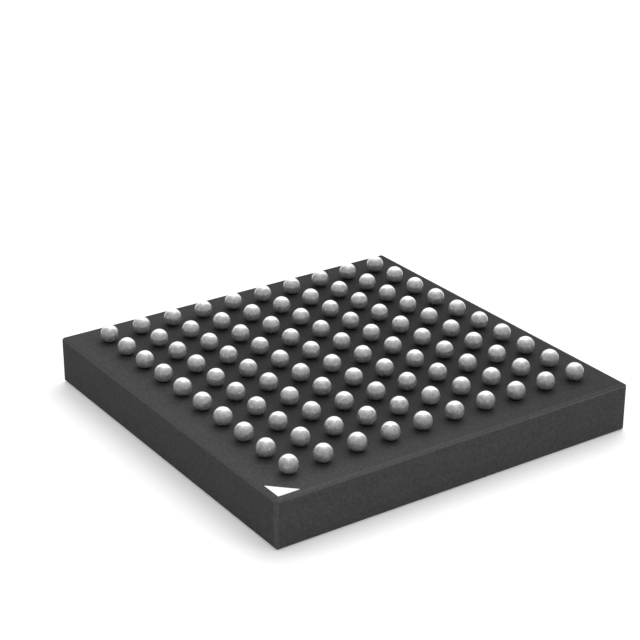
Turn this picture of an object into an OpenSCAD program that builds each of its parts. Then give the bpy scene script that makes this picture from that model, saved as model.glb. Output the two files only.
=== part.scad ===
// Ball grid array package, lying on its marking face with the solder balls up.
// All lengths are in millimetres. The origin is at the centre of the marking face,
// +Z points to the balls, and the corner mark is at the +X, -Y corner.

/* [Package] */
// Width of the package along X
package_x = 11.0; // [10.5:0.1:14]
// Width of the package along Y
package_y = 11.0; // [10.5:0.1:14]
// Thickness of the moulded cap, from the marking face to the laminate
cap_t = 0.95; // [0.7:0.05:1.5]
// Thickness of the laminate's glass and resin core
core_t = 0.34; // [0.16:0.02:0.8]
// Thickness of the solder mask on each side of the core
mask_t = 0.03; // [0.025:0.005:0.05]
// Leg of the small bevel along every edge of the package
edge_bevel = 0.07; // [0.02:0.01:0.12]

/* [Ball grid] */
// Number of balls in each lettered row
ball_columns = 10; // [2:1:10]
// Distance between ball centres, along both rows and columns
ball_pitch = 1.0; // [0.96:0.01:1.0]
// Largest diameter of a reflowed ball
ball_dia = 0.5; // [0.4:0.01:0.6]
// Height of a ball's crown above the ball-side face
ball_height = 0.48; // [0.4:0.01:0.6]
// Diameter of the opening in the mask that a ball's foot fills
mask_opening_dia = 0.24; // [0.18:0.01:0.3]

/* [Copper] */
// Thickness of the copper film on both sides of the core
copper_t = 0.02; // [0.01:0.002:0.022]
// Diameter of the copper pad under each ball
ball_pad_dia = 0.42; // [0.36:0.01:0.6]
// Diameter of the plated and filled via through the core
via_dia = 0.15; // [0.1:0.01:0.2]
// Diameter of the land at the die end of each via
via_land_dia = 0.3; // [0.22:0.01:0.4]

/* [Die] */
// Length of the die along X
die_x = 4.4; // [4.2:0.05:4.6]
// Length of the die along Y
die_y = 4.4; // [4.2:0.05:4.6]
// Thickness of the die
die_t = 0.28; // [0.15:0.01:0.35]
// Thickness of the adhesive under the die
adhesive_t = 0.03; // [0.015:0.005:0.05]
// How far the adhesive stands out around the die
adhesive_margin = 0.08; // [0:0.01:0.12]
// Side of a square bond pad on the die
die_pad_side = 0.09; // [0.07:0.005:0.12]
// Thickness of a bond pad on the die
die_pad_t = 0.01; // [0.005:0.001:0.02]
// Distance from the die's edge to the centre line of its pads
die_pad_inset = 0.1; // [0.07:0.01:0.15]
// Distance between neighbouring pads on the die
die_pad_pitch = 0.16; // [0.13:0.005:0.165]

/* [Bond fingers and wires] */
// Number of wires on each side of the die
wires_per_side = 25; // [1:1:25]
// Gap between the die's edge and the fingers
finger_gap = 0.62; // [0.6:0.01:0.66]
// Length of a bond finger
finger_length = 0.38; // [0.3:0.01:0.4]
// Width of a bond finger
finger_w = 0.12; // [0.08:0.005:0.16]
// Distance between neighbouring fingers
finger_pitch = 0.21; // [0.17:0.005:0.215]
// Distance from a finger's inner end to the foot of its wire
wire_foot_inset = 0.12; // [0.06:0.01:0.2]
// Width of mask that is cleared around the ring of fingers
window_margin = 0.04; // [0.02:0.005:0.06]
// Diameter of the gold wire
wire_dia = 0.025; // [0.018:0.001:0.033]
// Straight rise of a wire from its pad, before it bends
wire_rise = 0.07; // [0.04:0.005:0.15]
// Radius of the bend at the top of a wire, at its centre line
wire_bend_radius = 0.08; // [0.05:0.005:0.12]
// Diameter of the squashed ball at the start of a wire
wire_ball_dia = 0.06; // [0.045:0.001:0.07]
// Thickness of the squashed ball at the start of a wire
wire_ball_t = 0.015; // [0.008:0.001:0.02]

/* [Corner mark] */
// Leg of the triangular ink mark at the corner of the first ball
mark_leg = 0.6; // [0.3:0.02:0.7]
// Distance from the package's sides to the mark
mark_inset = 0.17; // [0.13:0.01:0.25]
// Thickness of the ink
mark_t = 0.015; // [0.005:0.001:0.03]

/* [Hidden] */

// Rows of balls carry the letters A to K without I, and row A runs past the corner mark
BALL_ROWS = 10;

// How far a cutting shape runs past the face that it cuts
overrun = 0.05;

// A wire's slope is a whole number of these steps, in degrees
slope_step = 0.01;

// Levels of the layers, counted from the marking face
core_z = cap_t + mask_t;
core_top_z = core_z + core_t;
face_z = core_top_z + mask_t;

// Levels of the inner pieces, counted from the core's die side
die_z = mask_t + adhesive_t;
die_top_z = die_z + die_t;
die_pad_top_z = die_top_z + die_pad_t;

// Round shapes are drawn with this many sides
$fn = 48;

// Places that the patterns share

// Middle of item i in a centred line of count items
function line_place(i, count, pitch) = (i - (count - 1) / 2) * pitch;

// Centre of the ball in lettered row r and numbered column c
function ball_place(r, c) = [
    line_place(BALL_ROWS - 1 - r, BALL_ROWS, ball_pitch),
    line_place(c, ball_columns, ball_pitch),
];

// Half of the die's length across the side that a quarter turn leads to
function half_die(quarter) = (quarter % 2 == 0 ? die_x : die_y) / 2;

// Distance from the centre to the inner end of the fingers on one side
function finger_start(quarter) = half_die(quarter) + finger_gap;

// Draws its children once at every ball
module at_each_ball() {
    for (r = [0 : BALL_ROWS - 1])
        for (c = [0 : ball_columns - 1])
            translate(ball_place(r, c)) children();
}

// Stands its children on the core's die side, with their +Z away from the core
module on_die_side() {
    translate([0, 0, core_z]) rotate([180, 0, 0]) children();
}

// Shapes that the pieces share

// Rectangle with its four corners cut off
module bevelled_rectangle(w, h) {
    x = w / 2;
    y = h / 2;
    b = edge_bevel;
    polygon([
        [x - b, -y], [x, -y + b], [x, y - b], [x - b, y],
        [-x + b, y], [-x, y - b], [-x, -y + b], [-x + b, -y],
    ]);
}

// The whole package without its balls, bevelled along all twelve edges
module package_form() {
    intersection() {
        linear_extrude(face_z)
            bevelled_rectangle(package_x, package_y);
        rotate([90, 0, 0]) linear_extrude(package_y, center = true)
            translate([0, face_z / 2]) bevelled_rectangle(package_x, face_z);
        rotate([90, 0, 90]) linear_extrude(package_x, center = true)
            translate([0, face_z / 2]) bevelled_rectangle(package_y, face_z);
    }
}

// Block that is centred in plan and stands on z = 0
module slab(w, d, h) {
    translate([-w / 2, -d / 2, 0]) cube([w, d, h]);
}

// Slice of the package between two levels
module layer(low_z, high_z) {
    intersection() {
        package_form();
        translate([0, 0, low_z]) slab(package_x, package_y, high_z - low_z);
    }
}

// Ring around the die where the mask is cleared for the fingers
module window_ring(h) {
    inner = 2 * (finger_gap - window_margin);
    outer = 2 * (finger_gap + finger_length + window_margin);
    difference() {
        slab(die_x + outer, die_y + outer, h);
        translate([0, 0, -overrun])
            slab(die_x + inner, die_y + inner, h + 2 * overrun);
    }
}

// Draws its children once at each of the places along one side of the die
module along_side(quarter, reach, pitch) {
    rotate(90 * quarter)
        for (i = [0 : wires_per_side - 1])
            translate([reach, line_place(i, wires_per_side, pitch), 0]) children();
}

// One gold wire. It starts with a squashed ball on the die's pad, rises, bends over
// and runs straight down to its finger, where the finger's face cuts it to a foot.
module bond_wire(pad, foot, drop) {
    run = foot - pad;
    reach = norm(run);
    across = reach - wire_bend_radius;
    down = drop + wire_rise;
    straight = sqrt(across * across + down * down - wire_bend_radius * wire_bend_radius);
    aim = atan2(wire_bend_radius, straight) + atan2(down, across);
    slope = round(aim / slope_step) * slope_step;
    translate([pad[0], pad[1], die_pad_top_z]) {
        cylinder(d = wire_ball_dia, h = wire_ball_t);
        cylinder(d = wire_dia, h = wire_rise);
        rotate(atan2(run[1], run[0])) translate([wire_bend_radius, 0, wire_rise]) {
            rotate([90, 0, 0]) rotate(90 - slope) rotate_extrude(angle = 90 + slope)
                translate([wire_bend_radius, 0]) circle(d = wire_dia);
            rotate([0, 90 + slope, 0]) translate([-wire_bend_radius, 0, 0])
                cylinder(d = wire_dia, h = straight + overrun);
        }
    }
}

// All the wires on the side that a quarter turn leads to
module wire_side(quarter) {
    pad_x = half_die(quarter) - die_pad_inset;
    foot_x = finger_start(quarter) + wire_foot_inset;
    rotate(90 * quarter) difference() {
        for (i = [0 : wires_per_side - 1])
            bond_wire(
                [pad_x, line_place(i, wires_per_side, die_pad_pitch)],
                [foot_x, line_place(i, wires_per_side, finger_pitch)],
                die_pad_top_z - copper_t
            );
        translate([finger_start(quarter), 0, copper_t - 2 * overrun])
            slab(2 * finger_length, wires_per_side * finger_pitch, 2 * overrun);
    }
}

// The pieces

// Black epoxy that is moulded over the die and the wires and fills every gap
module mould_cap() {
    color("#3a3a3c") difference() {
        union() {
            layer(0, cap_t);
            difference() {
                on_die_side() window_ring(mask_t);
                via_lands();
            }
        }
        silicon_die();
        die_adhesive();
        die_bond_pads();
        bond_fingers();
        bond_wires(0);
        bond_wires(1);
        bond_wires(2);
        bond_wires(3);
    }
}

// Glass and resin board with a hole for each via
module laminate_core() {
    color("#474742") difference() {
        layer(core_z, core_top_z);
        at_each_ball() translate([0, 0, core_z - overrun])
            cylinder(d = via_dia, h = core_t + 2 * overrun);
    }
}

// Dark mask over the ball side, open over the middle of each pad
module solder_mask_ball_side() {
    color("#404042") difference() {
        layer(core_top_z, face_z);
        at_each_ball() translate([0, 0, core_top_z - overrun]) {
            cylinder(d = ball_pad_dia, h = copper_t + overrun);
            cylinder(d = mask_opening_dia, h = mask_t + 2 * overrun);
        }
    }
}

// Dark mask over the die side, open in a ring where the fingers are
module solder_mask_die_side() {
    color("#404042") difference() {
        layer(cap_t, core_z);
        translate([0, 0, overrun]) on_die_side() window_ring(mask_t + 2 * overrun);
        at_each_ball() translate([0, 0, core_z - copper_t])
            cylinder(d = via_land_dia, h = copper_t + overrun);
    }
}

// Copper pad under each ball
module ball_pads() {
    color("#b87348") at_each_ball() translate([0, 0, core_top_z])
        cylinder(d = ball_pad_dia, h = copper_t);
}

// Copper through the core under each pad
module core_vias() {
    color("#b87348") at_each_ball() translate([0, 0, core_z])
        cylinder(d = via_dia, h = core_t);
}

// Copper land at the die end of each via
module via_lands() {
    color("#b87348") at_each_ball() translate([0, 0, core_z - copper_t])
        cylinder(d = via_land_dia, h = copper_t);
}

// Gold-plated fingers that take the outer ends of the wires
module bond_fingers() {
    color("#d9b25a") on_die_side()
        for (quarter = [0 : 3])
            along_side(quarter, finger_start(quarter), finger_pitch)
                translate([0, -finger_w / 2, 0]) cube([finger_length, finger_w, copper_t]);
}

// The chip itself
module silicon_die() {
    color("#5d6470") on_die_side() translate([0, 0, die_z])
        slab(die_x, die_y, die_t);
}

// Adhesive film that holds the die to the laminate
module die_adhesive() {
    color("#c8c8c0") on_die_side() translate([0, 0, mask_t])
        slab(die_x + 2 * adhesive_margin, die_y + 2 * adhesive_margin, adhesive_t);
}

// Aluminium pads along the edges of the die
module die_bond_pads() {
    color("#c4c7cb") on_die_side() translate([0, 0, die_top_z])
        for (quarter = [0 : 3])
            along_side(quarter, half_die(quarter) - die_pad_inset, die_pad_pitch)
                slab(die_pad_side, die_pad_side, die_pad_t);
}

// Gold wires on one side of the die
module bond_wires(quarter) {
    color("#e0b040") on_die_side() wire_side(quarter);
}

// One row of reflowed balls. The foot of each fills its opening down to the pad.
module ball_row(r) {
    color("#c9cacc")
        for (c = [0 : ball_columns - 1])
            translate(ball_place(r, c)) solder_ball();
}

// One reflowed ball
module solder_ball() {
    centre_z = face_z + ball_height - ball_dia / 2;
    intersection() {
        translate([0, 0, centre_z]) sphere(d = ball_dia);
        translate([0, 0, face_z]) cylinder(d = 2 * ball_dia, h = ball_height + overrun);
    }
    translate([0, 0, core_top_z + copper_t])
        cylinder(d = mask_opening_dia, h = centre_z - core_top_z - copper_t);
}

// White ink triangle at the corner of the first ball
module corner_mark() {
    color("white") translate([package_x / 2 - mark_inset, -package_y / 2 + mark_inset, face_z])
        linear_extrude(mark_t) polygon([[0, 0], [0, mark_leg], [-mark_leg, 0]]);
}

mould_cap();
laminate_core();
solder_mask_ball_side();
solder_mask_die_side();
ball_pads();
core_vias();
via_lands();
bond_fingers();
silicon_die();
die_adhesive();
die_bond_pads();
bond_wires(0);  // bond_wires_right
bond_wires(1);  // bond_wires_back
bond_wires(2);  // bond_wires_left
bond_wires(3);  // bond_wires_front
ball_row(0);  // ball_row_a
ball_row(1);  // ball_row_b
ball_row(2);  // ball_row_c
ball_row(3);  // ball_row_d
ball_row(4);  // ball_row_e
ball_row(5);  // ball_row_f
ball_row(6);  // ball_row_g
ball_row(7);  // ball_row_h
ball_row(8);  // ball_row_j
ball_row(9);  // ball_row_k
corner_mark();
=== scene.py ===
"""Ball grid array package with its solder balls up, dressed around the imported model."""

import logging
import math
from dataclasses import dataclass
from enum import Enum
from typing import Any, Optional, Sequence, Union

import bmesh
import bpy
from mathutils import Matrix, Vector


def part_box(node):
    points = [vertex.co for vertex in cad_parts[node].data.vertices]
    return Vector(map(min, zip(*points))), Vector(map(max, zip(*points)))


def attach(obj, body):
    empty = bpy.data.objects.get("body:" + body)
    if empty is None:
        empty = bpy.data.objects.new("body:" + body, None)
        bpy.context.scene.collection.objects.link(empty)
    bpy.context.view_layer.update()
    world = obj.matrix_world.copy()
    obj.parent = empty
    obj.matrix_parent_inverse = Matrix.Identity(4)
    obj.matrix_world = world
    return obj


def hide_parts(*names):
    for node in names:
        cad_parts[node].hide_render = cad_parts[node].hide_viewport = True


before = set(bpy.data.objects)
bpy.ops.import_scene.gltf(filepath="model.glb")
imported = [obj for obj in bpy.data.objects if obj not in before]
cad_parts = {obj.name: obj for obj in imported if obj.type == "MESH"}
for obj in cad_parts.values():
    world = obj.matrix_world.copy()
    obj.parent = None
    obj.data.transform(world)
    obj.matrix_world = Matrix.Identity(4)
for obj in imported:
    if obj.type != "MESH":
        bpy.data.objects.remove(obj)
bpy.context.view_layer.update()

log = logging.getLogger("bga")

MM = 0.001
WELD = 1e-4 * MM
MIDDLE = 0.5
WHITE = (1.0, 1.0, 1.0, 1.0)
BODY = "root"

Colour = tuple[float, float, float]
Triple = tuple[float, float, float]
Span = tuple[float, float]
Number = Union[float, "Wire"]
Paint = Union[Colour, "Wire"]


class Axis(Enum):
    """A direction of the row frame, as a unit vector."""

    X = (1.0, 0.0, 0.0)
    Y = (0.0, 1.0, 0.0)
    Z = (0.0, 0.0, 1.0)


class CellShape(Enum):
    """The shape that Voronoi cells take from the way in which they measure distance."""

    ROUND = "EUCLIDEAN"
    SQUARE = "CHEBYCHEV"


class Wire:
    """One output socket of a shader tree, which takes part in Python sums."""

    def __init__(self, tree: "ShaderTree", socket: Optional[bpy.types.NodeSocket]) -> None:
        """Keeps the socket and the tree that it belongs to.

        Args:
            tree: the tree that new nodes go into.
            socket: the output socket that this value stands for, if its node has one.
        """
        self.tree = tree
        self.socket = socket

    def _math(self, operation: str, first: Number, second: Number = 0.0) -> "Wire":
        """Adds a Math node and returns its result.

        Args:
            operation: the Math node's operation.
            first: the first value or link.
            second: the second value or link.

        Returns:
            The wire that leaves the new node.
        """
        return self.tree.node("ShaderNodeMath", {"operation": operation}, {0: first, 1: second})

    def __add__(self, other: Number) -> "Wire":
        """This value plus another."""
        return self._math("ADD", self, other)

    def __radd__(self, other: Number) -> "Wire":
        """Another value plus this one."""
        return self._math("ADD", other, self)

    def __sub__(self, other: Number) -> "Wire":
        """This value less another."""
        return self._math("SUBTRACT", self, other)

    def __rsub__(self, other: Number) -> "Wire":
        """Another value less this one."""
        return self._math("SUBTRACT", other, self)

    def __mul__(self, other: Number) -> "Wire":
        """This value times another."""
        return self._math("MULTIPLY", self, other)

    def __rmul__(self, other: Number) -> "Wire":
        """Another value times this one."""
        return self._math("MULTIPLY", other, self)

    def __truediv__(self, other: Number) -> "Wire":
        """This value over another."""
        return self._math("DIVIDE", self, other)

    def __rtruediv__(self, other: Number) -> "Wire":
        """Another value over this one."""
        return self._math("DIVIDE", other, self)

    def fraction(self) -> "Wire":
        """What this value has above the whole number below it."""
        return self._math("FRACT", self)

    def root(self) -> "Wire":
        """The square root of this value."""
        return self._math("SQRT", self)

    def size(self) -> "Wire":
        """This value without its sign."""
        return self._math("ABSOLUTE", self)

    def lesser(self, other: Number) -> "Wire":
        """The smaller of this value and another."""
        return self._math("MINIMUM", self, other)

    def greater(self, other: Number) -> "Wire":
        """The larger of this value and another."""
        return self._math("MAXIMUM", self, other)

    def swing(self) -> "Wire":
        """How far this level, which goes from 0 to 1, is above or below its middle."""
        return self - MIDDLE

    def clamped(self) -> "Wire":
        """This value held between 0 and 1."""
        return self.tree.node("ShaderNodeClamp", {}, {0: self})


class ShaderTree:
    """The node tree of one material or of the world."""

    def __init__(self, owner: Union[bpy.types.Material, bpy.types.World]) -> None:
        """Empties the owner's tree.

        Args:
            owner: the material or world that the tree belongs to.
        """
        owner.use_nodes = True
        self.nodes = owner.node_tree.nodes
        self.links = owner.node_tree.links
        self.nodes.clear()

    def node(
        self, kind: str, settings: dict[str, Any], inputs: dict[Any, Any], output: Any = 0
    ) -> Wire:
        """Adds one node, sets it up and feeds it.

        Args:
            kind: the node's type.
            settings: its own settings, such as a Math node's operation.
            inputs: a value or a wire for each socket, by name or number.
            output: the name or number of the output to return.

        Returns:
            The wire that leaves the chosen output.
        """
        made = self.nodes.new(kind)
        for name, value in settings.items():
            setattr(made, name, value)
        for name, value in inputs.items():
            if isinstance(value, Wire):
                self.links.new(value.socket, made.inputs[name])
            else:
                made.inputs[name].default_value = value
        return Wire(self, made.outputs[output] if made.outputs else None)

    def surface(self, shader: Wire, output: str = "ShaderNodeOutputMaterial") -> None:
        """Makes a shader the surface of the tree's owner."""
        self.node(output, {}, {"Surface": shader})

    def object_place(self) -> Wire:
        """The point on the piece, in the row frame."""
        return self.node("ShaderNodeTexCoord", {}, {}, "Object")

    def along(self, place: Wire, axis: Axis) -> Wire:
        """How far a place is along one axis."""
        return self.node("ShaderNodeSeparateXYZ", {}, {0: place}, axis.name)

    def stretched(self, place: Wire, factors: Triple) -> Wire:
        """A place with each axis multiplied by its own factor."""
        return self.node("ShaderNodeMapping", {}, {"Vector": place, "Scale": factors})

    def noise(self, place: Wire, size: float, detail: float = 2.0, rough: float = 0.5) -> Wire:
        """Cloudy noise between 0 and 1.

        Args:
            place: where it is read.
            size: the size of its largest lumps, in metres.
            detail: how many finer layers it has.
            rough: how strong the finer layers are.

        Returns:
            The noise's level.
        """
        inputs = {"Vector": place, "Scale": 1.0 / size, "Detail": detail, "Roughness": rough}
        return self.node("ShaderNodeTexNoise", {}, inputs, "Fac")

    def cells(self, place: Wire, size: float) -> Wire:
        """The way to the middle of the nearest cell, as crystals and grains have.

        Args:
            place: where it is read.
            size: the size of one cell, in metres.

        Returns:
            The distance, in cells.
        """
        return self.node("ShaderNodeTexVoronoi", {}, {"Vector": place, "Scale": 1.0 / size})

    def cell_tones(self, place: Wire, size: float, shape: CellShape = CellShape.ROUND) -> Wire:
        """A grey level that is each cell's own.

        Args:
            place: where it is read.
            size: the size of one cell, in metres.
            shape: the cells' shape.

        Returns:
            The level, from 0 to 1.
        """
        inputs = {"Vector": place, "Scale": 1.0 / size}
        own = self.node("ShaderNodeTexVoronoi", {"distance": shape.value}, inputs, "Color")
        return self.node("ShaderNodeRGBToBW", {}, {0: own})

    def blend(self, factor: Number, low: Paint, high: Paint) -> Wire:
        """A colour between two colours.

        Args:
            factor: 0 for the first colour, 1 for the second.
            low: the first colour.
            high: the second colour.

        Returns:
            The mixed colour.
        """
        first, second = (
            paint if isinstance(paint, Wire) else (*paint, 1.0) for paint in (low, high)
        )
        inputs = {0: factor, 6: first, 7: second}
        return self.node("ShaderNodeMix", {"data_type": "RGBA"}, inputs, 2)

    def scaled(self, colour: Wire, factor: Number) -> Wire:
        """A colour made lighter or darker by a factor."""
        inputs = {0: colour, "Scale": factor}
        return self.node("ShaderNodeVectorMath", {"operation": "SCALE"}, inputs)

    def bump(self, height: Wire, depth: float) -> Wire:
        """Normals that stand for a fine relief.

        Args:
            height: the relief, from 0 to about 1.
            depth: how high 1 stands, in metres.

        Returns:
            The turned normal.
        """
        inputs = {"Height": height, "Distance": depth, "Strength": 1.0}
        return self.node("ShaderNodeBump", {}, inputs)

    def edge_of(self, place: Wire, low: Vector, high: Vector, leg: float, fade: float) -> Wire:
        """1 on the bevels of a box, 0 on its flat faces.

        A point on a flat face lies deep inside along two axes and a point on a bevel
        along one, so the middle one of its three depths tells them apart.

        Args:
            place: the point on the piece.
            low: lowest corner of the box, before its edges are bevelled.
            high: highest corner of the box.
            leg: leg of the bevel, in metres.
            fade: the depth over which the level falls from 1 to 0, in metres.

        Returns:
            The level.
        """
        depths = []
        for axis in Axis:
            direction = Vector(axis.value)
            middle = (low + high).dot(direction) / 2
            half = (high - low).dot(direction) / 2
            depths.append(half - (self.along(place, axis) - middle).size())
        x, y, z = depths
        between = x.lesser(y).greater(x.greater(y).lesser(z))
        return ((leg - between) / fade).clamped()

    def seen_white(self) -> Wire:
        """1 for a ray that shows the background as it is, 0 for one that only lights."""
        seen, mirrored, refracted = (
            self.node("ShaderNodeLightPath", {}, {}, ray)
            for ray in ("Is Camera Ray", "Is Glossy Ray", "Is Transmission Ray")
        )
        return (seen + mirrored + refracted).clamped()


def shade(colour: Colour, factor: float) -> Colour:
    """A colour that is lighter or darker by a factor."""
    return tuple(min(1.0, channel * factor) for channel in colour)


class Finish:
    """A finish that makes its material the first time that it is asked for.

    Each finish is a frozen dataclass, with its sizes in metres. A field that ends in
    tone, gloss or relief says how much a pattern counts in the shade, the roughness or
    the height, and relief alone is the height of 1.

    Attributes:
        name: the material's name.
        colour: its middle colour.
        dark: the darkest shade of that colour.
        light: the lightest shade of that colour.
    """

    name: str
    colour: Colour
    dark: float
    light: float

    def material(self) -> bpy.types.Material:
        """The finish's material, made once."""
        known = bpy.data.materials.get(self.name)
        if known is not None:
            return known
        made = bpy.data.materials.new(self.name)
        tree = ShaderTree(made)
        inputs = self.sockets(tree, tree.object_place())
        tree.surface(tree.node("ShaderNodeBsdfPrincipled", {}, inputs))
        return made

    def toned(self, tree: ShaderTree, level: Wire) -> Wire:
        """The finish's colour in its dark shade at 0, its light shade at 1."""
        dark, light = shade(self.colour, self.dark), shade(self.colour, self.light)
        return tree.blend(level.clamped(), dark, light)

    def sockets(self, tree: ShaderTree, place: Wire) -> dict[str, Any]:
        """What the shader's sockets take, by name. Each finish writes its own."""
        raise NotImplementedError


@dataclass(frozen=True)
class FilledResin(Finish):
    """Black epoxy full of fine glass and silica grains, moulded, sawn or lacquered."""

    name: str
    colour: Colour
    low: Vector
    high: Vector
    dark: float = 0.7
    light: float = 1.45
    base_level: float = 0.4
    roughness: float = 0.62
    specular_level: float = 0.04
    relief: float = 0.00072 * MM
    grain: float = 0.07 * MM
    grain_tone: float = 1.4
    grain_gloss: float = 0.18
    cloud: float = 0.9 * MM
    cloud_tone: float = 0.3
    cloud_gloss: float = 0.06
    grains_per_flake: float = 2.4
    flake_relief: float = 0.35
    grains_per_streak: float = 1.5
    streak_stretch: Triple = (0.05, 0.05, 1.0)
    streak_tone: float = 0.0
    bevel: float = 0.075 * MM
    bevel_fade: float = 0.01125 * MM
    # The bevels' lighter band is partly edge wear and partly a painted highlight.
    wear_and_highlight: float = 0.5
    even_wear_and_highlight: float = 0.5

    def sockets(self, tree: ShaderTree, place: Wire) -> dict[str, Any]:
        """Grain, soft clouds, bevels lighter by wear and painted highlight, faint streaks along
        sawn cuts.

        Args:
            tree: the material's tree.
            place: the point on the piece.

        Returns:
            The shader's sockets.
        """
        grains = tree.noise(place, self.grain, detail=3.0, rough=0.65)
        clouds = tree.noise(place, self.cloud, detail=4.0, rough=0.6)
        flakes = tree.cells(place, self.grains_per_flake * self.grain)
        along_cut = tree.stretched(place, self.streak_stretch)
        streaks = tree.noise(along_cut, self.grains_per_streak * self.grain)
        edge = tree.edge_of(place, self.low, self.high, self.bevel, self.bevel_fade)
        # Lighter bevels: partly wear, partly a painted highlight standing in for their sheen.
        worn_and_highlit = edge * (self.even_wear_and_highlight + grains) * self.wear_and_highlight
        level = self.base_level + grains.swing() * self.grain_tone
        level = level + clouds.swing() * self.cloud_tone + streaks.swing() * self.streak_tone
        gloss = grains.swing() * self.grain_gloss + clouds.swing() * self.cloud_gloss
        height = grains + flakes * self.flake_relief + streaks * self.streak_tone
        return {
            "Base Color": self.toned(tree, level + worn_and_highlit),
            "Roughness": self.roughness + gloss,
            "Specular IOR Level": self.specular_level,
            "Normal": tree.bump(height, self.relief),
        }


@dataclass(frozen=True)
class FluxedMask(FilledResin):
    """Solder mask with painted light, lighter towards +X and -Y, and painted shade among the
    balls.
    """

    pitch: float = 1.0 * MM
    grid_half: float = 5.0 * MM
    # Painted shade among the balls: how far it reaches and how dark it is.
    rim_reach: float = 0.5 * MM
    rim_painted_shade: float = 0.2
    deep_reach: float = 2.5 * MM
    deep_painted_shade: float = 0.22
    foot: float = 0.12 * MM
    halo: float = 0.42 * MM
    halo_painted_shade: float = 0.2
    mottle: float = 0.5 * MM
    mottle_least: float = 0.85
    mottle_span: float = 0.3
    painted_shade_factor: float = 0.2
    # Painted light: the colour is lighter towards +X and darker towards +Y.
    light_drift_x: float = 0.07
    light_drift_y: float = -0.2

    def painted_shade(self, tree: ShaderTree, place: Wire, x: Wire, y: Wire) -> Wire:
        """How much painted shade the mask takes: more towards the middle of the grid and round
        each foot.

        Args:
            tree: the material's tree.
            place: the point on the piece.
            x: the point's place along X.
            y: the point's place along Y.

        Returns:
            The level, from 0 to 1.
        """
        across, along = ((value / self.pitch).fraction().swing() for value in (x, y))
        reach = (across * across + along * along).root() * self.pitch
        near = 1.0 - ((reach - self.foot) / (self.halo - self.foot)).clamped()
        depth = self.grid_half - x.size().greater(y.size())
        rim, deep = ((depth / fade).clamped() for fade in (self.rim_reach, self.deep_reach))
        # Painted shade: darker among the balls, most in the middle and in a ring round each
        # foot.
        levels = rim * self.rim_painted_shade + deep * self.deep_painted_shade
        levels = levels + rim * near * near * self.halo_painted_shade
        spots = tree.noise(place, self.mottle, detail=3.0)
        return (levels * (self.mottle_least + spots * self.mottle_span)).clamped()

    def sockets(self, tree: ShaderTree, place: Wire) -> dict[str, Any]:
        """The resin's own sockets, with painted light and painted shade in its colour.

        Args:
            tree: the material's tree.
            place: the point on the piece.

        Returns:
            The shader's sockets.
        """
        plain = super().sockets(tree, place)
        x, y = (tree.along(place, axis) for axis in (Axis.X, Axis.Y))
        half_width = (self.high.y - self.low.y) / 2
        # Painted light: the colour is made lighter towards +X and -Y, as if lit from that side.
        painted_light_drift = (x * self.light_drift_x + y * self.light_drift_y) / half_width
        drift_lit = tree.scaled(plain["Base Color"], 1.0 + painted_light_drift)
        shaded_colour = shade(self.colour, self.painted_shade_factor)
        # Painted shade darkens the colour among the balls and round each foot.
        plain["Base Color"] = tree.blend(self.painted_shade(tree, place, x, y), drift_lit, shaded_colour)
        return plain


@dataclass(frozen=True)
class ReflowedSolder(Finish):
    """Solder that froze from the melt: satin, with faint crystals and soft ripples.

    A clear film of flux covers each ball but for its foot, which is darkened with painted
    shade where it meets the mask.
    """

    name: str
    colour: Colour
    face_z: float
    dark: float = 0.1
    light: float = 1.9
    roughness: float = 0.5
    metallic: float = 0.65
    relief: float = 0.004 * MM
    ripple: float = 0.11 * MM
    ripple_tone: float = 0.4
    ripple_relief: float = 0.7
    crystal: float = 0.075 * MM
    crystal_tone: float = 0.25
    crystal_gloss: float = 0.12
    crystal_relief: float = 0.3
    fine: float = 0.01875 * MM
    fine_tone: float = 0.5
    fine_gloss: float = 0.08
    fine_relief: float = 0.12
    # Painted shade at the ball's foot: how dark, and over what height it fades.
    foot_painted_shade: float = 0.03
    painted_shade_height: float = 0.015 * MM
    painted_shade_fade: float = 0.1 * MM
    film_ior: float = 2.8
    film_roughness: float = 0.02

    def sockets(self, tree: ShaderTree, place: Wire) -> dict[str, Any]:
        """Crystals that differ in shade and gloss, over soft ripples.

        Args:
            tree: the material's tree.
            place: the point on the piece.

        Returns:
            The shader's sockets.
        """
        ripples = tree.noise(place, self.ripple)
        fine = tree.noise(place, self.fine, rough=0.6)
        grown = tree.cells(place, self.crystal)
        tones = tree.cell_tones(place, self.crystal)
        level = MIDDLE + tones.swing() * self.crystal_tone + ripples.swing() * self.ripple_tone
        gloss = tones.swing() * self.crystal_gloss + fine.swing() * self.fine_gloss
        height = ripples * self.ripple_relief + grown * self.crystal_relief
        # Painted shade: the foot is dark and has no coat where it meets the mask.
        above_foot = tree.along(place, Axis.Z) - self.face_z - self.painted_shade_height
        clear = (above_foot / self.painted_shade_fade).clamped()
        clean = self.toned(tree, level + fine.swing() * self.fine_tone)
        return {
            "Base Color": tree.blend(clear, shade(self.colour, self.foot_painted_shade), clean),
            "Metallic": self.metallic,
            "Roughness": self.roughness + gloss,
            "Coat Weight": clear,
            "Coat Roughness": self.film_roughness,
            "Coat IOR": self.film_ior,
            "Normal": tree.bump(height + fine * self.fine_relief, self.relief),
        }


@dataclass(frozen=True)
class ScreenedInk(Finish):
    """White ink, screened thinly over the mask."""

    name: str
    colour: Colour
    dark: float = 0.97
    light: float = 1.03
    roughness: float = 0.55
    relief: float = 0.0008 * MM
    grain: float = 0.03 * MM
    grain_gloss: float = 0.2

    def sockets(self, tree: ShaderTree, place: Wire) -> dict[str, Any]:
        """Even white with a faint mesh-fine mottle.

        Args:
            tree: the material's tree.
            place: the point on the piece.

        Returns:
            The shader's sockets.
        """
        grains = tree.noise(place, self.grain, detail=3.0, rough=0.6)
        return {
            "Base Color": self.toned(tree, grains),
            "Roughness": self.roughness + grains.swing() * self.grain_gloss,
            "Normal": tree.bump(grains, self.relief),
        }


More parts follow.
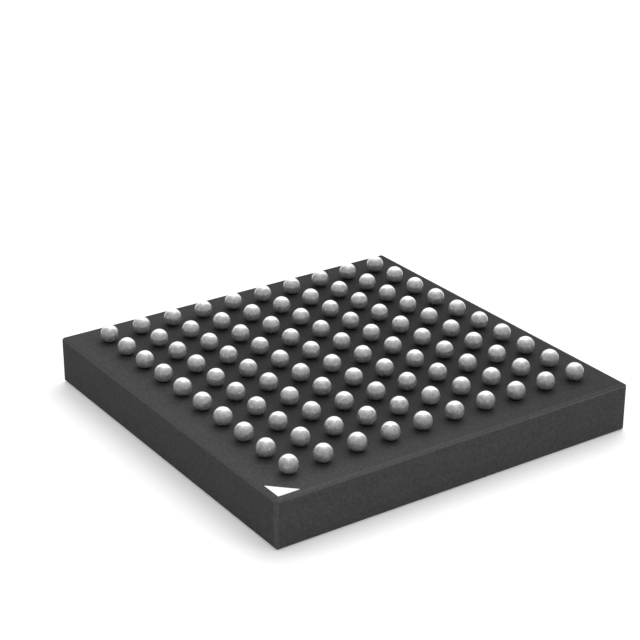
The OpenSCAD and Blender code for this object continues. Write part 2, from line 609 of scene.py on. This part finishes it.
@dataclass(frozen=True)
class MetalFilm(Finish):
    """Plated, rolled or sputtered metal, such as copper, gold or aluminium."""

    name: str
    colour: Colour
    roughness: float
    dark: float = 0.88
    light: float = 1.08
    relief: float = 0.0005 * MM
    grain: float = 0.02 * MM
    grain_tone: float = 0.6
    grain_gloss: float = 0.15
    cloud: float = 0.4 * MM
    cloud_tone: float = 0.6

    def sockets(self, tree: ShaderTree, place: Wire) -> dict[str, Any]:
        """Bright metal with a fine plated grain and a slow change of shade.

        Args:
            tree: the material's tree.
            place: the point on the piece.

        Returns:
            The shader's sockets.
        """
        grains = tree.noise(place, self.grain, rough=0.6)
        clouds = tree.noise(place, self.cloud)
        level = MIDDLE + grains.swing() * self.grain_tone + clouds.swing() * self.cloud_tone
        return {
            "Base Color": self.toned(tree, level),
            "Metallic": 1.0,
            "Roughness": self.roughness + grains.swing() * self.grain_gloss,
            "Normal": tree.bump(grains, self.relief),
        }


@dataclass(frozen=True)
class DicedSilicon(Finish):
    """Polished silicon with blocks of fine circuits."""

    name: str
    colour: Colour
    dark: float = 0.6
    light: float = 1.5
    roughness: float = 0.2
    metallic: float = 0.7
    block: float = 0.42 * MM
    block_tone: float = 0.6
    cell: float = 0.06 * MM
    cell_tone: float = 0.4
    cell_gloss: float = 0.12

    def sockets(self, tree: ShaderTree, place: Wire) -> dict[str, Any]:
        """Square blocks that differ a little in shade, each full of tiny cells.

        Args:
            tree: the material's tree.
            place: the point on the piece.

        Returns:
            The shader's sockets.
        """
        blocks, cells = (
            tree.cell_tones(place, size, CellShape.SQUARE) for size in (self.block, self.cell)
        )
        return {
            "Base Color": self.toned(tree, blocks * self.block_tone + cells * self.cell_tone),
            "Metallic": self.metallic,
            "Roughness": self.roughness + cells * self.cell_gloss,
        }


class Shop:
    """Every finish of the package, under the name of what it covers."""

    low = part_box("mould_cap")[0]
    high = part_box("solder_mask_ball_side")[1]
    black = (0.057, 0.057, 0.0575)
    mould = FilledResin("moulded_epoxy", black, low, high, streak_tone=0.15)
    laminate = FilledResin("sawn_laminate", black, low, high, streak_tone=0.25)
    mask = FluxedMask("dark_solder_mask", (0.051, 0.051, 0.0515), low, high, specular_level=0.01)
    adhesive = FilledResin(
        "die_paste", (0.42, 0.42, 0.4), low, high, grain=0.015 * MM, grain_tone=0.9
    )
    solder = ReflowedSolder("reflowed_solder", (0.53, 0.53, 0.534), high.z)
    ink = ScreenedInk("white_ink", (0.86, 0.86, 0.86))
    copper = MetalFilm("copper_film", (0.84, 0.46, 0.3), roughness=0.35)
    gold = MetalFilm("soft_gold", (0.93, 0.68, 0.3), roughness=0.22)
    aluminium = MetalFilm("pad_aluminium", (0.8, 0.8, 0.81), roughness=0.3)
    silicon = DicedSilicon("diced_silicon", (0.16, 0.17, 0.21))


def linked(name: str, data: bpy.types.ID) -> bpy.types.Object:
    """A new object with the given data, linked to the scene."""
    made = bpy.data.objects.new(name, data)
    bpy.context.scene.collection.objects.link(made)
    return made


def shaped(name: str, form: bmesh.types.BMesh) -> bpy.types.Object:
    """Makes a form an object of the scene and frees the form.

    Args:
        name: the name of the object and of its mesh.
        form: the form, in the row frame.

    Returns:
        The object.
    """
    mesh = bpy.data.meshes.new(name)
    form.to_mesh(mesh)
    form.free()
    return linked(name, mesh)


@dataclass
class DressedNodes:
    """CAD nodes that keep their shape and take a finish."""

    finish: Finish
    nodes: Sequence[str]

    def dress(self) -> None:
        """Gives each node its finish and reports it."""
        for name in self.nodes:
            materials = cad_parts[name].data.materials
            materials.clear()
            materials.append(self.finish.material())
            log.info("%s keeps its solid and takes %s", name, self.finish.name)


@dataclass
class SolderBalls:
    """The grid of reflowed balls, one piece for each lettered row.

    Attributes:
        letters: the letters of the rows, in order.
        per_row: how many balls a row has.
        foot_radius: radius of the face that a ball stands on, in metres.
        segments: how many faces a ball has round its axis.
        rings: how many faces it has from its crown to its foot.
        finish: what it is dressed in.
        seed: the first row's seed. Each next row's is higher by 1.
    """

    letters: str = "abcdefghjk"
    per_row: int = 10
    foot_radius: float = 0.12 * MM
    segments: int = 36
    rings: int = 20
    finish: Finish = Shop.solder
    seed: int = 7

    def profile(self, low: Vector, high: Vector) -> list[tuple[float, float]]:
        """Half outline of a ball, from its crown to the middle of its foot.

        Args:
            low: lowest corner of a row's box.
            high: highest corner of a row's box.

        Returns:
            Radius and height of each point.
        """
        radius = (high.x - low.x) / 2
        centre_z = high.z - radius
        last = math.pi - math.asin(self.foot_radius / radius)
        points = [(0.0, high.z)]
        for ring in range(1, self.rings + 1):
            angle = last * ring / self.rings
            points.append((radius * math.sin(angle), centre_z + radius * math.cos(angle)))
        return points + [(self.foot_radius, low.z), (0.0, low.z)]

    def ball(self, low: Vector, high: Vector) -> bpy.types.Object:
        """One ball as a closed turned mesh, on the Z axis.

        Args:
            low: lowest corner of a row's box.
            high: highest corner of a row's box.

        Returns:
            The ball's object, linked to the scene.
        """
        form = bmesh.new()
        outline = [form.verts.new((out, 0.0, up)) for out, up in self.profile(low, high)]
        edges = [form.edges.new(pair) for pair in zip(outline, outline[1:])]
        bmesh.ops.spin(
            form, geom=outline + edges, cent=(0, 0, 0), axis=Axis.Z.value,
            angle=math.tau, steps=self.segments,
        )
        bmesh.ops.remove_doubles(form, verts=form.verts, dist=WELD)
        bmesh.ops.recalc_face_normals(form, faces=form.faces)
        return shaped("one_ball", form)

    def row_tree(self) -> bpy.types.NodeTree:
        """The tree that sets balls in a row, each turned by a random angle.

        Returns:
            The node group, with its sizes as named inputs.
        """
        tree = bpy.data.node_groups.new("ball_row", "GeometryNodeTree")
        for name, kind in (
            ("Ball", "NodeSocketObject"),
            ("Count", "NodeSocketInt"),
            ("First", "NodeSocketVector"),
            ("Step", "NodeSocketVector"),
            ("Seed", "NodeSocketInt"),
            ("Finish", "NodeSocketMaterial"),
        ):
            tree.interface.new_socket(name=name, in_out="INPUT", socket_type=kind)
        tree.interface.new_socket(name="Row", in_out="OUTPUT", socket_type="NodeSocketGeometry")
        new, link = tree.nodes.new, tree.links.new
        given = new("NodeGroupInput")
        line = new("GeometryNodeMeshLine")
        ball = new("GeometryNodeObjectInfo")
        turn = new("FunctionNodeRandomValue")
        turn.data_type = "FLOAT_VECTOR"
        turn.inputs["Min"].default_value = (0.0, 0.0, 0.0)
        turn.inputs["Max"].default_value = (0.0, 0.0, math.tau)
        placed = new("GeometryNodeInstanceOnPoints")
        real = new("GeometryNodeRealizeInstances")
        smooth = new("GeometryNodeSetShadeSmooth")
        coated = new("GeometryNodeSetMaterial")
        result = new("NodeGroupOutput")
        link(given.outputs["Count"], line.inputs["Count"])
        link(given.outputs["First"], line.inputs["Start Location"])
        link(given.outputs["Step"], line.inputs["Offset"])
        link(given.outputs["Ball"], ball.inputs["Object"])
        link(given.outputs["Seed"], turn.inputs["Seed"])
        link(line.outputs["Mesh"], placed.inputs["Points"])
        link(ball.outputs["Geometry"], placed.inputs["Instance"])
        link(turn.outputs["Value"], placed.inputs["Rotation"])
        link(placed.outputs["Instances"], real.inputs["Geometry"])
        link(real.outputs["Geometry"], smooth.inputs["Geometry"])
        link(smooth.outputs["Geometry"], coated.inputs["Geometry"])
        link(given.outputs["Finish"], coated.inputs["Material"])
        link(coated.outputs["Geometry"], result.inputs["Row"])
        return tree

    def row(
        self, letter: str, ball: bpy.types.Object, tree: bpy.types.NodeTree
    ) -> bpy.types.Object:
        """Sets one row of balls where its CAD node is, as a plain mesh.

        Args:
            letter: the row's letter.
            ball: the ball that is repeated.
            tree: the tree that repeats it.

        Returns:
            The finished piece, which replaces the node.
        """
        name, node = f"balls_{letter}", f"ball_row_{letter}"
        low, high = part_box(node)
        radius = (high.x - low.x) / 2
        pitch = (high.y - low.y - 2 * radius) / (self.per_row - 1)
        holder = linked(name, bpy.data.meshes.new(name))
        maker = holder.modifiers.new("row", "NODES")
        maker.node_group = tree
        values = {
            "Ball": ball,
            "Count": self.per_row,
            "First": (low.x + radius, low.y + radius, 0.0),
            "Step": (0.0, pitch, 0.0),
            "Seed": self.seed + self.letters.index(letter),
            "Finish": self.finish.material(),
        }
        for item in tree.interface.items_tree:
            if item.in_out == "INPUT":
                maker[item.identifier] = values[item.name]
        graph = bpy.context.evaluated_depsgraph_get()
        mesh = bpy.data.meshes.new_from_object(holder.evaluated_get(graph), depsgraph=graph)
        holder.modifiers.remove(maker)
        mesh.name = name
        holder.data = mesh
        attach(holder, BODY)
        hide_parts(node)
        log.info("%s: %d balls, %d faces", name, self.per_row, len(mesh.polygons))
        return holder

    def build(self) -> list[bpy.types.Object]:
        """Builds every row.

        Returns:
            The pieces, from row A on.
        """
        tree = self.row_tree()
        low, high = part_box(f"ball_row_{self.letters[0]}")
        one = self.ball(low, high)
        rows = [self.row(letter, one, tree) for letter in self.letters]
        bpy.data.objects.remove(one)
        return rows


def towards(azimuth: float, elevation: float) -> Vector:
    """The unit vector from the object to a viewer or a lamp.

    Args:
        azimuth: 0 looks along +Y, 90 along -X, in degrees.
        elevation: above the horizon, in degrees.

    Returns:
        The direction.
    """
    turn, rise = math.radians(azimuth), math.radians(elevation)
    level = math.cos(rise)
    return Vector((math.sin(turn) * level, -math.cos(turn) * level, math.sin(rise)))


def stand_off(made: bpy.types.Object, aim: Vector, away: Vector, distance: float) -> None:
    """Stands a camera or a lamp off from a point and turns it to face that point.

    Args:
        made: the camera or lamp.
        aim: the point that it faces.
        away: the unit vector from the point to it.
        distance: how far off it stands, in metres.
    """
    made.location = aim + away * distance
    made.rotation_euler = away.to_track_quat("Z", "Y").to_euler()


@dataclass(frozen=True)
class PaleFloor:
    """A pale floor that shows as white and keeps the object's shadow.

    Attributes:
        size: its width, in metres.
        colour: its colour.
        grain: size of its faint grain, in metres.
        mottle: how much lighter and darker the grain is.
        lift: how much light of its own it shows, so that it looks white.
    """

    size: float = 1.2
    colour: Colour = (0.86, 0.86, 0.86)
    grain: float = 0.4 * MM
    mottle: float = 0.01
    lift: float = 0.25

    def material(self) -> bpy.types.Material:
        """Matte paint with a faint grain, which glows only for rays that show it."""
        made = bpy.data.materials.new("studio_floor")
        tree = ShaderTree(made)
        grains = tree.noise(tree.object_place(), self.grain, detail=3.0)
        darker, lighter = (shade(self.colour, 1 + sign * self.mottle) for sign in (-1, 1))
        paint = tree.blend(grains, darker, lighter)
        matte = tree.node("ShaderNodeBsdfDiffuse", {}, {"Color": paint})
        glow = tree.node("ShaderNodeEmission", {}, {"Strength": tree.seen_white() * self.lift})
        tree.surface(tree.node("ShaderNodeAddShader", {}, {0: matte, 1: glow}))
        return made

    def build(self) -> None:
        """Lays the floor under the object."""
        half = self.size / 2
        corners = ((-half, -half), (half, -half), (half, half), (-half, half))
        form = bmesh.new()
        form.faces.new([form.verts.new((x, y, 0.0)) for x, y in corners])
        made = shaped("floor", form)
        made.visible_glossy = False
        made.data.materials.append(self.material())


@dataclass(frozen=True)
class GlowCard:
    """A curved card, out of the camera's sight, that metal shows in place of the room.

    Attributes:
        name: the card's name.
        middle: azimuth of its middle from the camera's, in degrees.
        spread: how far it reaches to each side of its middle, in degrees.
        rises: elevation of its lower and of its upper edge, in degrees.
        levels: how bright it is at those edges, where 1 is white.
        radius: how far it stands from the object, in metres.
        steps: how many flat strips it has.
    """

    name: str
    middle: float
    spread: float
    rises: Span
    levels: Span
    radius: float = 0.16
    steps: int = 16

    def glow(self) -> bpy.types.Material:
        """Light that grows with the square of the height above the lower edge."""
        made = bpy.data.materials.new(self.name)
        tree = ShaderTree(made)
        low, high = (math.sin(math.radians(rise)) * self.radius for rise in self.rises)
        height = tree.along(tree.object_place(), Axis.Z)
        share = ((height - low) / (high - low)).clamped()
        least, most = self.levels
        level = least + share * share * (most - least)
        tree.surface(tree.node("ShaderNodeEmission", {}, {"Strength": level}))
        return made

    def build(self, azimuth: float) -> None:
        """Stands the card round the object.

        Args:
            azimuth: the camera's azimuth, in degrees.
        """
        form = bmesh.new()
        posts = []
        for step in range(self.steps + 1):
            turn = self.middle + self.spread * (2 * step / self.steps - 1)
            ends = [towards(azimuth + turn, rise) * self.radius for rise in self.rises]
            posts.append([form.verts.new(end) for end in ends])
        for (bottom, top), (next_bottom, next_top) in zip(posts, posts[1:]):
            form.faces.new((bottom, next_bottom, next_top, top))
        made = shaped(self.name, form)
        made.visible_camera = False
        made.visible_diffuse = False
        made.visible_shadow = False
        made.data.materials.append(self.glow())


@dataclass(frozen=True)
class SoftLamp:
    """A round soft lamp that faces the object.

    Attributes:
        name: the lamp's name.
        turn: its azimuth from the camera's, in degrees.
        elevation: how high it stands, in degrees.
        distance: how far it stands from the object, in metres.
        size: diameter of its disc, in metres.
        energy: its power, in watts.
        mirrored: whether metal shows it.
    """

    name: str
    turn: float
    elevation: float
    distance: float
    size: float
    energy: float
    mirrored: bool = True

    def build(self, azimuth: float) -> None:
        """Sets the lamp up.

        Args:
            azimuth: the camera's azimuth, in degrees.
        """
        data = bpy.data.lights.new(self.name, "AREA")
        data.shape = "DISK"
        data.size = self.size
        data.energy = self.energy
        made = linked(self.name, data)
        made.visible_glossy = self.mirrored
        away = towards(azimuth + self.turn, self.elevation)
        stand_off(made, Vector((0.0, 0.0, 0.0)), away, self.distance)


@dataclass
class Studio:
    """The camera, even light from all round, a floor, two cards and two lamps.

    Attributes:
        azimuth: where the camera stands, in degrees, as for towards.
        elevation: how high the camera stands, in degrees.
        distance: from the camera to the point that it faces, in metres.
        aim: that point.
        lens: the camera's focal length, in millimetres.
        clip: the nearest and the furthest that the camera sees, in metres.
        world_level: how bright the even light is, where 1 is white.
        floor: what the object stands on.
        cards: what its metal mirrors.
        lamps: what gives it light and shade.
    """

    azimuth: float = 55.88
    elevation: float = 24.12
    distance: float = 47.73 * MM
    aim: Triple = (-0.254 * MM, -0.375 * MM, 2.532 * MM)
    lens: float = 100.46
    clip: Span = (1 * MM, 10.0)
    world_level: float = 0.65
    floor: PaleFloor = PaleFloor()
    cards: tuple[GlowCard, ...] = (
        GlowCard("grey_card", middle=0.0, spread=125.0, rises=(-30.0, 75.0), levels=(0.15, 1.0)),
        GlowCard("white_card", middle=180.0, spread=50.0, rises=(18.0, 70.0), levels=(2.2, 2.2)),
    )
    lamps: tuple[SoftLamp, ...] = (
        SoftLamp("key", turn=166.0, elevation=58.0, distance=0.32, size=0.28, energy=0.6),
        SoftLamp(
            "fill", turn=70.0, elevation=20.0, distance=0.2, size=0.12, energy=0.07,
            mirrored=False,
        ),
    )

    def camera(self) -> None:
        """Sets up the camera where the photographer stood."""
        data = bpy.data.cameras.new("camera")
        data.lens = self.lens
        data.clip_start, data.clip_end = self.clip
        made = linked("camera", data)
        away = towards(self.azimuth, self.elevation)
        stand_off(made, Vector(self.aim), away, self.distance)
        bpy.context.scene.camera = made
        log.info("camera at %s", [round(value, 5) for value in made.location])

    def world(self) -> None:
        """Soft even light from all round, which shows as white."""
        world = bpy.data.worlds.new("studio")
        bpy.context.scene.world = world
        tree = ShaderTree(world)
        level = self.world_level + tree.seen_white() * (1.0 - self.world_level)
        light = tree.node("ShaderNodeBackground", {}, {"Color": WHITE, "Strength": level})
        tree.surface(light, "ShaderNodeOutputWorld")

    def build(self) -> None:
        """Sets up everything round the object."""
        self.camera()
        self.world()
        self.floor.build()
        for piece in (*self.cards, *self.lamps):
            piece.build(self.azimuth)
        bpy.context.scene.view_settings.view_transform = "Standard"
        log.info("studio is ready")


def main() -> None:
    """Builds the studio and dresses every piece of the package."""
    logging.basicConfig(level=logging.INFO, format="%(message)s")
    Studio().build()
    wires = [f"bond_wires_{side}" for side in ("right", "back", "left", "front")]
    for finish, nodes in (
        (Shop.mould, ["mould_cap"]),
        (Shop.laminate, ["laminate_core", "solder_mask_die_side"]),
        (Shop.mask, ["solder_mask_ball_side"]),
        (Shop.ink, ["corner_mark"]),
        (Shop.copper, ["ball_pads", "core_vias", "via_lands"]),
        (Shop.gold, ["bond_fingers", *wires]),
        (Shop.silicon, ["silicon_die"]),
        (Shop.aluminium, ["die_bond_pads"]),
        (Shop.adhesive, ["die_adhesive"]),
    ):
        DressedNodes(finish, nodes).dress()
    SolderBalls().build()


if __name__ == "__main__":
    main()
